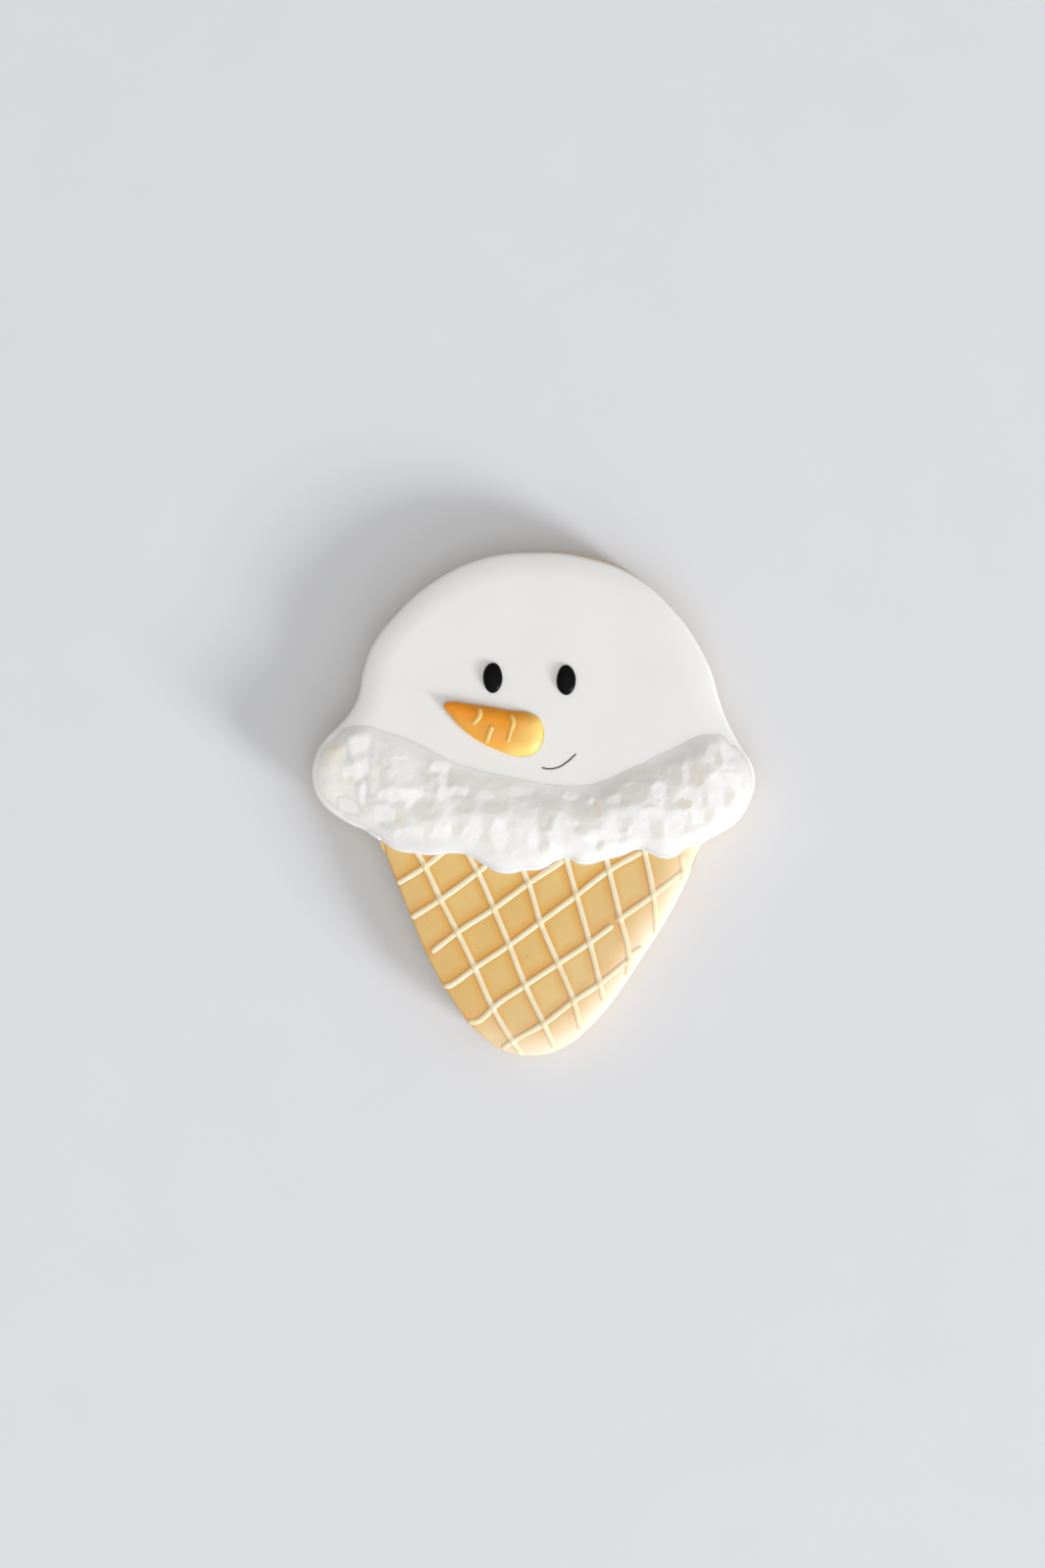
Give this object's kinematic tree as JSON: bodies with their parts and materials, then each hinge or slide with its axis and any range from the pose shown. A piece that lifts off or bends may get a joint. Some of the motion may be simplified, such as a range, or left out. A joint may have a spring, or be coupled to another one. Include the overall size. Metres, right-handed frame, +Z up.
{
  "type": "decorated christmas cookie",
  "caption": "Flat biscuit in the form of an ice cream cone, iced with a snowman's head for the scoop, a rough white ruffle and a piped waffle pattern on the cone.",
  "frame": {"origin": "middle of the outline, on the flat underside that the biscuit rests on", "axes": "+Z up through the iced side, +Y from the tip of the cone to the top of the scoop, +X to the right as one looks down on the iced side"},
  "size_m": [0.0879, 0.1001, 0.0134],
  "materials": {
    "biscuit": "baked dough, dry, pale golden and matte, with fine pores",
    "white_icing": "dried flood icing, smooth, satin white",
    "rough_white_icing": "thick dabbed icing, broken and ridged, matte white",
    "tan_icing": "dried flood icing, smooth, satin caramel, with paler piped lines",
    "orange_icing": "puffed dried icing, satin orange, with pale piped lines",
    "black_icing": "beaded dried icing, black with a soft sheen"
  },
  "bodies": {
    "root": {"biscuit": "biscuit", "scoop_icing": "white_icing", "ruffle_icing": "rough_white_icing", "cone_icing": "tan_icing", "carrot_nose": "orange_icing", "eye_left": "black_icing", "eye_right": "black_icing"}
  },
  "joints": []
}
